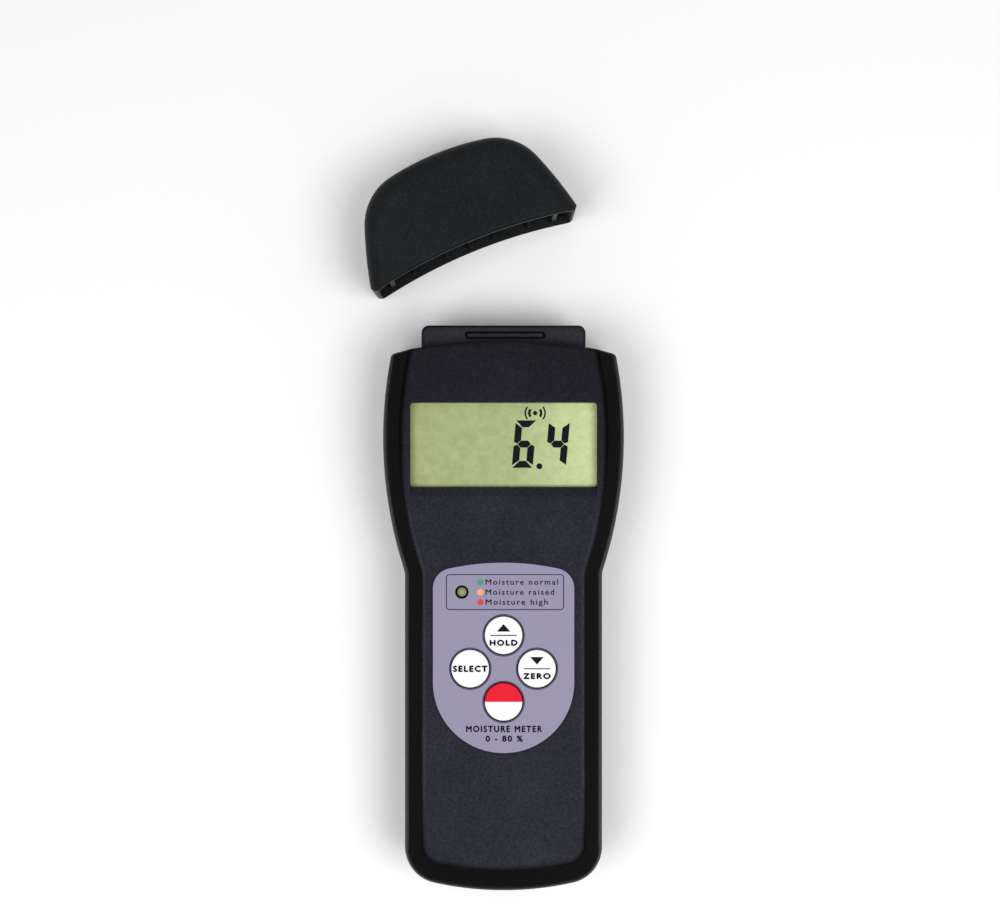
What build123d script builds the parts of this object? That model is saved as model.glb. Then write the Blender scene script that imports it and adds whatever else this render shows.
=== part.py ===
from build123d import *
import os
from math import sqrt

# Search-type wood moisture meter, lying on its flat back, with its protective cap pulled off and laid down
# beyond the sensor head. X runs across the meter, Y towards the sensor head and Z out of the front face.
# The origin is on the flat back, half way along the casing. All sizes are millimetres.

os.makedirs("parts", exist_ok=True)

# Casing outline
casing_length = 140.2
casing_width = 61.7
casing_depth = 26.0
grip_width = 50.5
widest_y = 45.9
side_radius = 109.0
waist_radius = 6.0
heel_radius = 82.0
heel_corner_radius = 9.5
crown_radius = 140.0
side_centre_x = casing_width / 2 - side_radius
crown_centre_y = casing_length / 2 - crown_radius
beyond = 10.0  # how far tools run past what they cut

# Casing section
wall = 2.0
rear_wall = 3.0
back_plate = 2.0
face_plate = 2.0
parting_z = 12.5
lip_height = 1.5
seam_gap = 0.05
seam_chamfer = 0.25
bevel_foot_z = 20.0
bevel_run = 5.15
heel_bevel_run = 7.3
plateau_corner_radius = 4.6
plateau_edge_radius = 2.5
bevel_foot_radius = 5.0
back_edge_radius = 2.5
crown_edge_radius = 1.0
face_underside_z = casing_depth - face_plate
hollow_bevel_z = 18.5
hollow_bevel_run = 4.0

# Sensor head
head_width = 41.9
head_z = (5.0, 21.0)
head_y = (58.0, 74.5)
head_corner_radius = 1.9
head_edge_radius = 1.6
head_neck = 0.95  # how far the groove round the neck goes in
head_groove_depth = 3.1
head_wall = 1.5
slot_size = (20.6, 2.0)
slot_place = (0.4, 71.9)
slot_depth = 0.8
slot_bar = (19.2, 0.8, 0.6)
neck_overlap = 1.0
sensor_board_y = (60.0, 71.0)
sensor_board_z = (12.4, 13.4)
sensor_board_margin = 0.3
electrode_x = (3.0, 16.0)
electrode_z = (8.6, 17.4)
electrode_thickness = 0.4
electrode_tab_x = (8.0, 11.0)
electrode_tab_length = 4.0
cable_width = 12.0
cable_thickness = 0.3
cable_y = (50.0, 54.5, 59.0, 63.0)
cable_z = (16.85, 16.85, 13.55, 13.55)

# Display
window_size = (47.0, 21.35)
window_y = 44.0
window_corner_radius = 1.0
window_sill_run = 2.3
pane_z = (24.0, 25.2)
pane_ledge = 1.0
panel_size = (48.0, 24.2)
panel_z = (21.6, 22.7, 23.8)
panel_contact_ledge = 1.6
panel_lower_ledge = 0.4
frame_size = (49.6, 25.2)
frame_rim_z = 22.2
strip_size = (44.0, 1.8)
strip_pitch = 20.0

# Main board
board_z = (17.0, 18.6)
board_inset = 3.3
board_y = (-30.0, 57.0)
post_radius = 2.2
board_screw_places = [(-19.0, -26.0), (19.0, -26.0), (-22.0, 28.0), (22.0, 28.0)]
board_hole_clearance = 0.15
chip_place = (4.0, 12.0)
chip_size = 10.0
chip_height = 1.4
chip_stand_off = 0.1
pin_size = (1.2, 0.35, 0.3)
pin_pitch = 0.8
pins_per_side = 11
crystal_place = (15.0, 24.0)
crystal_size = (11.0, 4.6, 3.5)
capacitor_places = [(-8.0, 22.0), (-15.0, 22.0), (-8.0, 8.0)]
capacitor_size = (2.5, 5.5)
buzzer_place = (-13.0, 38.0)
buzzer_size = (6.0, 4.5)
buzzer_port = (1.0, 1.0)

# Keypad
overlay_width = 36.5
overlay_top_y = 14.75
overlay_top_radius = 65.0
overlay_corner_radius = 5.5
overlay_round_y = -15.85
overlay_pocket_depth = 0.4
overlay_thickness = 0.3
key_places = {"hold": (0.0, -4.0), "select": (-8.4, -12.4), "zero": (8.4, -12.4), "power": (0.0, -20.75)}
key_radius = 4.75
key_pocket_radius = 5.08
key_z = (24.9, 25.94)
key_edge_radius = 0.25
key_travel = 0.5
key_stem_radius = 2.0
key_stem_clearance = 0.2
key_boss_radius = 6.3
key_boss_z = 22.8
switch_size = 6.0
switch_top_z = 21.1
plunger_radius = 1.5
plunger_z = (20.4, 21.85)
stem_foot_z = 21.9
led_place = (-10.5, 6.9)
led_radius = 1.25
led_hole_radius = 1.7
led_tip_z = 25.85
led_flange = (1.5, 1.0)
led_tip_radius = 1.1
switch_bore_clearance = (0.1, 0.2)

# Batteries: four AAA cells side by side
cell_radius = 5.25
cell_length = 44.5
cell_edge_radius = 0.4
cell_nub = (1.9, 0.8)
cell_pitch = 10.6
cell_back_z = 2.3
cell_z = cell_back_z + cell_radius
bay_y = (-58.5, -8.5)
bay_half_width = 21.35
bay_wall = 1.2
bay_ceiling_z = (13.3, 14.5)
contact_thickness = 0.3
contact_margin = (0.8, 1.0)
tab_width = 2.6
tab_x = 1.5 * cell_pitch
spring_radius = 3.0
spring_pitch = 1.3
wire_radius = 0.3

# Battery door: slides off along -Y, on a tongue along each side
door_half_width = 21.2
door_tongue = 1.0
door_thickness = 1.8
door_tongue_z = 0.9
door_top_y = -5.0
door_gap = 0.15
channel_roof_z = 3.2
grip_groove = (14.0, 0.9, 0.35)
grip_groove_pitch = 2.2
grip_grooves = 5
grip_groove_y = -17.0

# Screws
case_screw_places = [(-25.5, 62.0), (25.5, 62.0), (-17.0, -64.0), (17.0, -64.0)]
rear_boss_radius = 3.4
front_boss_radius = 2.8
screw_head = (2.1, 1.6)
screw_seat_z = 4.0
screw_radius = 1.1
screw_tip_z = 16.5
screw_clearance = (0.4, 0.2)
pilot_run_out = 0.4
board_screw_head = (1.7, 1.2)
board_screw_radius = 0.75
board_screw_tip_z = 22.0
screw_head_radius = 0.5
cross_recess = (2.0, 0.5, 0.8)

# Protective cap
cap_top_y = 94.8
cap_depth = 25.0
cap_top_radius = 70.0
cap_corner_radius = 14.5
cap_gap = 0.2
cap_wall = 1.8
cap_root_y = 58.0
cap_front_radius = 5.0
cap_back_radius = 3.0
cap_rib_width = 1.2
cap_rib_places = (-16.3, -6.8, 0.0, 6.8, 16.3)
cap_rib_y = (64.0, 90.0)
cap_rib_setback = 1.0
cap_rib_clearance = 0.15
cap_partition_x = 22.8
cap_rim_radius = 1.0
cap_tip_radius = 1.6
# The cap is laid down by turning it about this pole from where it sits on the meter
cap_pole = (-68.3, 62.4)
cap_turn = 22.25


def save(piece, name):
    """Labels a finished piece and writes it as its own STEP."""
    piece.label = name
    export_step(piece, f"parts/{name}.step")


def casing_outline(height, inset=0.0, heel_inset=0.0, corner=heel_corner_radius):
    """Outline seen from the front. It runs on past the crown, where a tool with the crown's arc ends it."""
    half_grip = grip_width / 2 - inset
    radius = side_radius - inset
    heel_y = heel_inset - casing_length / 2
    corner_y = heel_y + heel_radius - sqrt(heel_radius**2 - half_grip**2)
    waist_y = widest_y - sqrt(radius**2 - (half_grip - side_centre_x) ** 2)
    top_y = casing_length / 2 + beyond
    top_x = side_centre_x + sqrt(radius**2 - (top_y - widest_y) ** 2)
    side_x = side_centre_x + radius
    with BuildSketch(Plane.XY.offset(height)) as outline:
        with BuildLine():
            ThreePointArc((-half_grip, corner_y), (0, heel_y), (half_grip, corner_y))
            Line((half_grip, corner_y), (half_grip, waist_y))
            ThreePointArc((half_grip, waist_y), (side_x, widest_y), (top_x, top_y))
            Line((top_x, top_y), (-top_x, top_y))
            ThreePointArc((-top_x, top_y), (-side_x, widest_y), (-half_grip, waist_y))
            Line((-half_grip, waist_y), (-half_grip, corner_y))
        make_face()
        fillet(outline.vertices().sort_by(Axis.Y)[2:4], waist_radius + inset)
        fillet(outline.vertices().sort_by(Axis.Y)[:2], corner)
    return outline.sketch


def past_crown(inset=0.0):
    """All that lies past the crown's arc, or past that arc moved inwards."""
    with BuildSketch() as region:
        with Locations((0, casing_length / 2)):
            Rectangle(2 * casing_width, casing_length / 2)
        with Locations((0, crown_centre_y)):
            Circle(crown_radius - inset, mode=Mode.SUBTRACT)
    return region.sketch


def overlay_outline(height, inset=0.0):
    """Shape of the printed foil: a round lower end and a gently arched top."""
    half_width = overlay_width / 2 - inset
    top_y = overlay_top_y - inset
    shoulder_y = top_y - overlay_top_radius + sqrt(overlay_top_radius**2 - half_width**2)
    foot_y = overlay_round_y - half_width
    with BuildSketch(Plane.XY.offset(height)) as outline:
        with BuildLine():
            ThreePointArc((-half_width, overlay_round_y), (0, foot_y), (half_width, overlay_round_y))
            Line((half_width, overlay_round_y), (half_width, shoulder_y))
            ThreePointArc((half_width, shoulder_y), (0, top_y), (-half_width, shoulder_y))
            Line((-half_width, shoulder_y), (-half_width, overlay_round_y))
        make_face()
        fillet(outline.vertices().sort_by(Axis.Y)[-2:], overlay_corner_radius)
    return outline.sketch


def strip(x_range, y_range, height):
    """Rectangle between two x and two y values, at this height."""
    with BuildSketch(Plane.XY.offset(height)) as rectangle:
        with Locations((sum(x_range) / 2, sum(y_range) / 2)):
            Rectangle(x_range[1] - x_range[0], y_range[1] - y_range[0])
    return rectangle.sketch


def discs(places, radius, height):
    """A circle at each place, at this height."""
    with BuildSketch(Plane.XY.offset(height)) as circles:
        with Locations(*places):
            Circle(radius)
    return circles.sketch


# ---------------------------------------------------------------- casing blanks

with BuildPart() as casing_form:
    extrude(casing_outline(0), amount=bevel_foot_z)
    plateau = casing_outline(casing_depth, bevel_run, heel_bevel_run, plateau_corner_radius)
    loft([casing_outline(bevel_foot_z).face(), plateau.face()], ruled=True)
    fillet(casing_form.faces().sort_by(Axis.Z)[-1].edges(), plateau_edge_radius)
    foot_edges = casing_form.edges().filter_by_position(Axis.Z, bevel_foot_z - 0.01, bevel_foot_z + 0.01)
    fillet(foot_edges, bevel_foot_radius)
    fillet(casing_form.faces().sort_by(Axis.Z)[0].edges(), back_edge_radius)
    extrude(past_crown(), amount=casing_depth, mode=Mode.SUBTRACT)
    crown = casing_form.faces().filter_by(GeomType.CYLINDER).sort_by(Axis.Y)[-1]
    fillet(crown.edges(), crown_edge_radius)

with BuildPart() as front_hollow:
    extrude(casing_outline(0, wall, wall, heel_corner_radius - wall), amount=hollow_bevel_z)
    hollow_foot = casing_outline(hollow_bevel_z, wall, wall, heel_corner_radius - wall)
    hollow_top = casing_outline(
        face_underside_z, wall + hollow_bevel_run, wall + heel_bevel_run, plateau_corner_radius - wall
    )
    loft([hollow_foot.face(), hollow_top.face()], ruled=True)
    extrude(past_crown(wall), amount=casing_depth, mode=Mode.SUBTRACT)

with BuildPart() as rear_hollow:
    rear_outline = casing_outline(back_plate, rear_wall, rear_wall, heel_corner_radius - rear_wall)
    extrude(rear_outline, amount=parting_z + lip_height - back_plate)
    extrude(past_crown(rear_wall), amount=casing_depth, mode=Mode.SUBTRACT)

with BuildPart() as seam_lip:
    lip_inset = wall + seam_gap
    lip_outline = casing_outline(parting_z, lip_inset, lip_inset, heel_corner_radius - lip_inset)
    extrude(lip_outline, amount=lip_height)
    extrude(past_crown(lip_inset), amount=casing_depth, mode=Mode.SUBTRACT)
    add(rear_hollow.part, mode=Mode.SUBTRACT)
    clear_of_bosses = discs(case_screw_places, front_boss_radius + seam_gap, parting_z)
    extrude(clear_of_bosses, amount=lip_height, mode=Mode.SUBTRACT)

# the neck of the sensor head, as it passes through the end wall of both shells
neck_half_width = head_width / 2 - head_neck
neck_z = (head_z[0] + head_neck, head_z[1] - head_neck)

with BuildPart() as neck_hole:
    neck_x = (-neck_half_width - seam_gap, neck_half_width + seam_gap)
    extrude(strip(neck_x, head_y, neck_z[0] - seam_gap), amount=neck_z[1] - neck_z[0] + 2 * seam_gap)

# ---------------------------------------------------------------- front casing

with BuildPart() as front_casing:
    add(casing_form.part)
    add(front_hollow.part, mode=Mode.SUBTRACT)
    extrude(discs(case_screw_places, front_boss_radius, parting_z), amount=face_underside_z - parting_z)
    extrude(discs(board_screw_places, post_radius, board_z[1]), amount=casing_depth - board_z[1] - wall)
    extrude(discs(key_places.values(), key_boss_radius, key_boss_z), amount=face_underside_z - key_boss_z)
    add(casing_form.part, mode=Mode.INTERSECT)
    whole_width = (-casing_width, casing_width)
    whole_length = (-casing_length, casing_length)
    extrude(strip(whole_width, whole_length, 0), amount=parting_z, mode=Mode.SUBTRACT)
    seam_face = front_casing.faces().sort_by(Axis.Z)[0]
    chamfer(seam_face.outer_wire().edges(), seam_chamfer)
    add(neck_hole.part, mode=Mode.SUBTRACT)
    # window opening, its sloped sill and the rebate that the pane is glued into
    with BuildSketch(Plane.XY.offset(pane_z[0])):
        with Locations((0, window_y)):
            RectangleRounded(*window_size, window_corner_radius)
    extrude(amount=casing_depth - pane_z[0], mode=Mode.SUBTRACT)
    with BuildSketch(Plane.XY.offset(pane_z[0] - seam_gap)):
        with Locations((0, window_y)):
            Rectangle(*(side + 2 * pane_ledge + seam_gap for side in window_size))
    extrude(amount=pane_z[1] - pane_z[0] + seam_gap, mode=Mode.SUBTRACT)
    sill_y = window_y - window_size[1] / 2
    with BuildSketch(Plane.YZ):
        with BuildLine():
            sill_foot_y = sill_y - window_sill_run
            Polyline((sill_y, pane_z[1]), (sill_y, casing_depth), (sill_foot_y, casing_depth), close=True)
        make_face()
    extrude(amount=window_size[0] / 2, both=True, mode=Mode.SUBTRACT)
    # pocket for the foil, and the keys' pockets and stem holes in it
    pocket_z = casing_depth - overlay_pocket_depth
    extrude(overlay_outline(pocket_z), amount=overlay_pocket_depth, mode=Mode.SUBTRACT)
    key_floor_z = key_z[0] - key_travel - key_stem_clearance
    key_pockets = discs(key_places.values(), key_pocket_radius, key_floor_z)
    extrude(key_pockets, amount=key_travel + beyond, mode=Mode.SUBTRACT)
    stem_hole_radius = key_stem_radius + key_stem_clearance
    extrude(discs(key_places.values(), stem_hole_radius, key_boss_z), amount=beyond, mode=Mode.SUBTRACT)
    extrude(discs([led_place], led_hole_radius, key_boss_z), amount=beyond, mode=Mode.SUBTRACT)
    # blind holes that the screws cut their thread in
    pilot = discs(case_screw_places, screw_radius + seam_gap, parting_z)
    extrude(pilot, amount=screw_tip_z + pilot_run_out - parting_z, mode=Mode.SUBTRACT)
    board_pilot = discs(board_screw_places, board_screw_radius + seam_gap, board_z[1])
    extrude(board_pilot, amount=board_screw_tip_z + pilot_run_out - board_z[1], mode=Mode.SUBTRACT)
save(front_casing.part, "front_casing")

# ---------------------------------------------------------------- rear casing and battery bay

with BuildPart() as rear_casing:
    add(casing_form.part)
    extrude(strip(whole_width, whole_length, parting_z), amount=casing_depth, mode=Mode.SUBTRACT)
    chamfer(rear_casing.faces().sort_by(Axis.Z)[-1].edges(), seam_chamfer)
    add(rear_hollow.part, mode=Mode.SUBTRACT)
    add(seam_lip.part)
    extrude(discs(case_screw_places, rear_boss_radius, back_plate / 2), amount=parting_z - back_plate / 2)
    # battery bay: its walls and ceiling, and a floor that the door's channel is cut in
    inner_half_width = grip_width / 2 - rear_wall
    bay_walls_y = (bay_y[0] - bay_wall, bay_y[1] + bay_wall)
    bay_block = strip((-inner_half_width, inner_half_width), bay_walls_y, back_plate / 2)
    extrude(bay_block, amount=bay_ceiling_z[1] - back_plate / 2)
    heel_inner_y = rear_wall - casing_length / 2
    channel_y = (heel_inner_y, door_top_y + bay_wall)
    channel_block = strip((-inner_half_width, inner_half_width), channel_y, back_plate / 2)
    extrude(channel_block, amount=channel_roof_z - back_plate / 2)
    add(casing_form.part, mode=Mode.INTERSECT)
    bay_space = strip((-bay_half_width, bay_half_width), bay_y, 0)
    extrude(bay_space, amount=bay_ceiling_z[0], mode=Mode.SUBTRACT)
    # channel for the door and the grooves for its tongues
    door_y = (-casing_length / 2 - beyond, door_top_y + door_gap)
    slot_half_width = door_half_width + door_gap
    channel = strip((-slot_half_width, slot_half_width), door_y, 0)
    extrude(channel, amount=door_thickness + door_gap, mode=Mode.SUBTRACT)
    groove_half_width = slot_half_width + door_tongue
    groove_z = door_tongue_z - door_gap
    grooves = strip((-groove_half_width, groove_half_width), door_y, groove_z)
    extrude(grooves, amount=door_thickness + door_gap - groove_z, mode=Mode.SUBTRACT)
    add(neck_hole.part, mode=Mode.SUBTRACT)
    # slots for the two solder tabs that rise to the main board
    for side in (-tab_x, tab_x):
        tab_slot_x = (side - tab_width / 2 - door_gap, side + tab_width / 2 + door_gap)
        tab_slot = strip(tab_slot_x, (bay_y[1] - 2 * contact_thickness, bay_y[1]), cell_z)
        extrude(tab_slot, amount=casing_depth - cell_z, mode=Mode.SUBTRACT)
    # counterbored screw holes from the back
    head_bore = discs(case_screw_places, screw_head[0] + screw_clearance[0], 0)
    extrude(head_bore, amount=screw_seat_z, mode=Mode.SUBTRACT)
    shank_bore = discs(case_screw_places, screw_radius + screw_clearance[1], 0)
    extrude(shank_bore, amount=parting_z, mode=Mode.SUBTRACT)
save(rear_casing.part, "rear_casing")

with BuildPart() as battery_door:
    door_reach = (-casing_length / 2 - beyond, door_top_y)
    extrude(strip((-door_half_width, door_half_width), door_reach, 0), amount=door_thickness)
    tongue_half_width = door_half_width + door_tongue
    tongues = strip((-tongue_half_width, tongue_half_width), door_reach, door_tongue_z)
    extrude(tongues, amount=door_thickness - door_tongue_z)
    add(casing_form.part, mode=Mode.INTERSECT)
    with BuildSketch():
        with Locations((0, grip_groove_y)):
            with GridLocations(0, grip_groove_pitch, 1, grip_grooves):
                SlotOverall(*grip_groove[:2])
    extrude(amount=grip_groove[2], mode=Mode.SUBTRACT)
save(battery_door.part, "battery_door")

# ---------------------------------------------------------------- battery cells and contacts

contact_y = (bay_y[0] + contact_thickness, bay_y[1] - contact_thickness)
spring_length = contact_y[1] - contact_y[0] - cell_length

for number in range(4):
    cell_x = (number - 1.5) * cell_pitch
    plus_up = number % 2 == 0
    plus_y = contact_y[1] if plus_up else contact_y[0]
    towards_minus = -1 if plus_up else 1
    cell_end = Plane((cell_x, plus_y, cell_z), x_dir=(1, 0, 0), z_dir=(0, towards_minus, 0))
    with BuildPart() as cell:
        with BuildSketch(cell_end):
            Circle(cell_nub[0])
        extrude(amount=cell_nub[1])
        with BuildSketch(cell_end.offset(cell_nub[1])):
            Circle(cell_radius)
        extrude(amount=cell_length - cell_nub[1])
        fillet(cell.edges().filter_by(GeomType.CIRCLE).group_by(SortBy.RADIUS)[-1], cell_edge_radius)
    save(cell.part, f"battery_cell_{number + 1}")

with BuildPart() as coil:
    with BuildLine() as turns:
        Helix(pitch=spring_pitch, height=spring_length - 2 * wire_radius, radius=spring_radius)
    with BuildSketch(Plane(turns.line @ 0, z_dir=turns.line % 0)):
        Circle(wire_radius)
    sweep(is_frenet=True)

with BuildPart() as battery_springs:
    for number in range(4):
        cell_x = (number - 1.5) * cell_pitch
        minus_down = number % 2 == 0
        foot_y = contact_y[0] + wire_radius if minus_down else contact_y[1] - wire_radius
        towards_cell = 1 if minus_down else -1
        seat = Plane((cell_x, foot_y, cell_z), x_dir=(1, 0, 0), z_dir=(0, towards_cell, 0))
        with Locations(seat.location):
            add(coil.part)
save(battery_springs.part, "battery_springs")

with BuildPart() as battery_contacts:
    plate_half_width = cell_radius - contact_margin[0]
    plate_z = cell_z - cell_radius + contact_margin[1]
    plate_height = 2 * (cell_radius - contact_margin[1])
    # each plate joins the cells at these places across the bay, so that all four are in series
    links = {bay_y[0]: ((-1.5, -0.5), (0.5, 1.5)), contact_y[1]: ((-1.5, -1.5), (-0.5, 0.5), (1.5, 1.5))}
    for plate_y, joined_cells in links.items():
        for first, last in joined_cells:
            plate_x = (first * cell_pitch - plate_half_width, last * cell_pitch + plate_half_width)
            extrude(strip(plate_x, (plate_y, plate_y + contact_thickness), plate_z), amount=plate_height)
    for side in (-tab_x, tab_x):
        tab = strip((side - tab_width / 2, side + tab_width / 2), (contact_y[1], bay_y[1]), cell_z)
        extrude(tab, amount=board_z[0] - cell_z)
save(battery_contacts.part, "battery_contacts")

# ---------------------------------------------------------------- sensor head

with BuildPart() as sensor_head:
    head_x = (-head_width / 2, head_width / 2)
    extrude(strip(head_x, head_y, head_z[0]), amount=head_z[1] - head_z[0])
    end_corners = sensor_head.edges().filter_by(Axis.Z).group_by(Axis.Y)[-1]
    fillet(end_corners, head_corner_radius)
    fillet(sensor_head.faces().sort_by(Axis.Z)[-1].edges(), head_edge_radius)
    fillet(sensor_head.faces().sort_by(Axis.Z)[0].edges(), head_edge_radius)
    with BuildSketch(Plane.XY.offset(head_z[0])):
        with Locations((0, crown_centre_y)):
            Circle(crown_radius + seam_gap)
            Circle(crown_radius - head_groove_depth, mode=Mode.SUBTRACT)
    extrude(amount=head_z[1] - head_z[0], mode=Mode.SUBTRACT)
    neck_y = (head_y[0] + neck_overlap, head_y[1] - neck_overlap)
    neck = strip((-neck_half_width, neck_half_width), neck_y, neck_z[0])
    extrude(neck, amount=neck_z[1] - neck_z[0])
    inner_half = neck_half_width - head_wall
    head_space = strip((-inner_half, inner_half), (head_y[0], head_y[1] - head_wall), neck_z[0] + head_wall)
    extrude(head_space, amount=neck_z[1] - neck_z[0] - 2 * head_wall, mode=Mode.SUBTRACT)
    with BuildSketch(Plane.XY.offset(head_z[1] - slot_depth)):
        with Locations(slot_place):
            SlotOverall(*slot_size)
            SlotOverall(*slot_bar[:2], mode=Mode.SUBTRACT)
    extrude(amount=slot_depth, mode=Mode.SUBTRACT)
    with BuildSketch(Plane.XY.offset(head_z[1] - slot_depth + slot_bar[2])):
        with Locations(slot_place):
            SlotOverall(*slot_size)
    extrude(amount=slot_depth, mode=Mode.SUBTRACT)
save(sensor_head.part, "sensor_head")

with BuildPart() as sensor_board:
    board_x = (sensor_board_margin - inner_half, inner_half - sensor_board_margin)
    extrude(strip(board_x, sensor_board_y, sensor_board_z[0]), amount=sensor_board_z[1] - sensor_board_z[0])
save(sensor_board.part, "sensor_board")

with BuildPart() as sensor_electrodes:
    electrode_y = head_y[1] - head_wall
    for side in (-1, 1):
        plate_x = sorted(side * x for x in electrode_x)
        plate = strip(plate_x, (electrode_y - electrode_thickness, electrode_y), electrode_z[0])
        extrude(plate, amount=electrode_z[1] - electrode_z[0])
        tab_ends = sorted(side * x for x in electrode_tab_x)
        tab = strip(tab_ends, (electrode_y - electrode_tab_length, electrode_y), sensor_board_z[1])
        extrude(tab, amount=electrode_thickness)
save(sensor_electrodes.part, "sensor_electrodes")

with BuildPart() as sensor_cable:
    with BuildSketch(Plane.YZ):
        with BuildLine():
            Polyline(*zip(cable_y, cable_z))
            offset(amount=cable_thickness / 2, side=Side.BOTH)
        make_face()
    extrude(amount=cable_width / 2, both=True)
save(sensor_cable.part, "sensor_cable")

# ---------------------------------------------------------------- display

with BuildPart() as display_window:
    with BuildSketch(Plane.XY.offset(pane_z[0])):
        with Locations((0, window_y)):
            Rectangle(*(side + 2 * pane_ledge for side in window_size))
    extrude(amount=pane_z[1] - pane_z[0])
save(display_window.part, "display_window")

with BuildPart() as lcd_panel:
    half_panel = panel_size[0] / 2
    panel_y = (window_y - panel_size[1] / 2, window_y + panel_size[1] / 2)
    extrude(strip((-half_panel, half_panel), panel_y, panel_z[0]), amount=panel_z[1] - panel_z[0])
    front_glass_y = (panel_y[0] + panel_lower_ledge, panel_y[1] - panel_contact_ledge)
    extrude(strip((-half_panel, half_panel), front_glass_y, panel_z[1]), amount=panel_z[2] - panel_z[1])
save(lcd_panel.part, "lcd_panel")

with BuildPart() as lcd_frame:
    with BuildSketch(Plane.XY.offset(board_z[1])):
        with Locations((0, window_y)):
            Rectangle(*frame_size)
    extrude(amount=frame_rim_z - board_z[1])
    with BuildSketch(Plane.XY.offset(panel_z[0])):
        with Locations((0, window_y)):
            Rectangle(*(side + 2 * seam_gap for side in panel_size))
    extrude(amount=beyond, mode=Mode.SUBTRACT)
    with BuildSketch(Plane.XY.offset(board_z[1])):
        with Locations((0, window_y)):
            Rectangle(strip_size[0], strip_pitch - 2 * strip_size[1])
            with GridLocations(0, strip_pitch, 1, 2):
                Rectangle(*(side + 2 * seam_gap for side in strip_size))
    extrude(amount=beyond, mode=Mode.SUBTRACT)
save(lcd_frame.part, "lcd_frame")

with BuildPart() as lcd_contact_strips:
    with BuildSketch(Plane.XY.offset(board_z[1])):
        with Locations((0, window_y)):
            with GridLocations(0, strip_pitch, 1, 2):
                Rectangle(*strip_size)
    extrude(amount=panel_z[0] - board_z[1])
save(lcd_contact_strips.part, "lcd_contact_strips")

# ---------------------------------------------------------------- main board and what it carries

with BuildPart() as main_board:
    extrude(casing_outline(board_z[0], board_inset, board_inset), amount=board_z[1] - board_z[0])
    extrude(strip(whole_width, board_y, board_z[0]), amount=board_z[1] - board_z[0], mode=Mode.INTERSECT)
    holes = discs(board_screw_places, board_screw_radius + board_hole_clearance, board_z[0])
    extrude(holes, amount=board_z[1] - board_z[0], mode=Mode.SUBTRACT)
save(main_board.part, "main_board")

with BuildPart() as controller_chip:
    with BuildSketch(Plane.XY.offset(board_z[0] - chip_height)):
        with Locations(chip_place):
            Rectangle(chip_size, chip_size)
    extrude(amount=chip_height - chip_stand_off)
    with BuildSketch(Plane.XY.offset(board_z[0] - pin_size[2])):
        with Locations(chip_place):
            with GridLocations(0, pin_pitch, 1, pins_per_side):
                Rectangle(chip_size + 2 * pin_size[0], pin_size[1])
            with GridLocations(pin_pitch, 0, pins_per_side, 1):
                Rectangle(pin_size[1], chip_size + 2 * pin_size[0])
    extrude(amount=pin_size[2])
save(controller_chip.part, "controller_chip")

with BuildPart() as crystal:
    with BuildSketch(Plane.XY.offset(board_z[0] - crystal_size[2])):
        with Locations(crystal_place):
            SlotOverall(*crystal_size[:2])
    extrude(amount=crystal_size[2])
save(crystal.part, "crystal")

with BuildPart() as capacitors:
    cans = discs(capacitor_places, capacitor_size[0], board_z[0] - capacitor_size[1])
    extrude(cans, amount=capacitor_size[1])
save(capacitors.part, "capacitors")

with BuildPart() as buzzer:
    buzzer_foot_z = board_z[0] - buzzer_size[1]
    extrude(discs([buzzer_place], buzzer_size[0], buzzer_foot_z), amount=buzzer_size[1])
    extrude(discs([buzzer_place], buzzer_port[0], buzzer_foot_z), amount=buzzer_port[1], mode=Mode.SUBTRACT)
save(buzzer.part, "buzzer")

with BuildPart() as status_led:
    extrude(discs([led_place], led_flange[0], board_z[1]), amount=led_flange[1])
    extrude(discs([led_place], led_radius, board_z[1]), amount=led_tip_z - board_z[1])
    fillet(status_led.edges().sort_by(Axis.Z)[-1], led_tip_radius)
save(status_led.part, "status_led")

# ---------------------------------------------------------------- keypad

with BuildPart() as keypad_overlay:
    foil_z = casing_depth - overlay_pocket_depth
    extrude(overlay_outline(foil_z, seam_gap), amount=overlay_thickness)
    key_openings = discs(key_places.values(), key_pocket_radius, foil_z)
    extrude(key_openings, amount=overlay_thickness, mode=Mode.SUBTRACT)
    extrude(discs([led_place], led_hole_radius, foil_z), amount=overlay_thickness, mode=Mode.SUBTRACT)
save(keypad_overlay.part, "keypad_overlay")

for key_name, place in key_places.items():
    with BuildPart() as key:
        extrude(discs([place], key_radius, key_z[0]), amount=key_z[1] - key_z[0])
        fillet(key.edges().sort_by(Axis.Z)[-1], key_edge_radius)
        extrude(discs([place], key_stem_radius, stem_foot_z), amount=key_z[0] - stem_foot_z)
    save(key.part, f"key_{key_name}")

for key_name, place in key_places.items():
    with BuildPart() as plunger:
        extrude(discs([place], plunger_radius, plunger_z[0]), amount=plunger_z[1] - plunger_z[0])
    save(plunger.part, f"plunger_{key_name}")

with BuildPart() as tact_switches:
    with BuildSketch(Plane.XY.offset(board_z[1])):
        with Locations(*key_places.values()):
            Rectangle(switch_size, switch_size)
    extrude(amount=switch_top_z - board_z[1])
    bore_floor_z = plunger_z[0] - key_travel - switch_bore_clearance[1]
    bore = discs(key_places.values(), plunger_radius + switch_bore_clearance[0], bore_floor_z)
    extrude(bore, amount=beyond, mode=Mode.SUBTRACT)
save(tact_switches.part, "tact_switches")

# ---------------------------------------------------------------- screws


def cross_recesses(places, height):
    """The cross of a screw's drive at each place."""
    with BuildSketch(Plane.XY.offset(height)) as crosses:
        with Locations(*places):
            Rectangle(cross_recess[0], cross_recess[1])
            Rectangle(cross_recess[1], cross_recess[0])
    return crosses.sketch


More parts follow.
